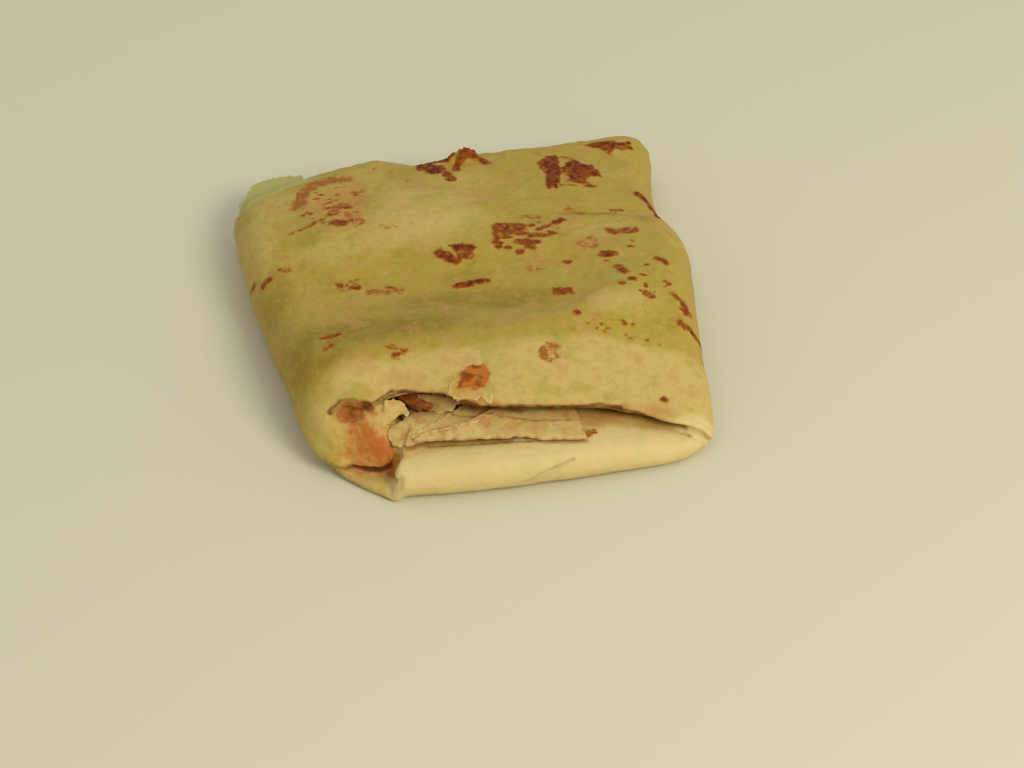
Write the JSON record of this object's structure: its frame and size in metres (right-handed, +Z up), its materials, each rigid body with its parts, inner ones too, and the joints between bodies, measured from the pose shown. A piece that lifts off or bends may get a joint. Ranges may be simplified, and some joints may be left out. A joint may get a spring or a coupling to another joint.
{
  "type": "paratha",
  "caption": "Filled flatbread folded into a flat packet, with a rolled front band, thin layers tucked into its open mouth and charred spots.",
  "frame": {"origin": "on the surface it lies on, under the middle of the packet's outline", "axes": "+X across the packet to the right, +Y from the open front to the folded back, +Z up"},
  "size_m": [0.158, 0.1796, 0.0296],
  "materials": {
    "bread": "soft cooked dough, dusty satin, with brown and maroon charred spots",
    "thin_bread": "thin translucent cooked dough, satin",
    "filling": "moist spiced filling"
  },
  "bodies": {
    "root": {"bread": "bread", "inner_layer": "thin_bread", "inner_flap": "thin_bread", "filling": "filling"}
  },
  "joints": []
}
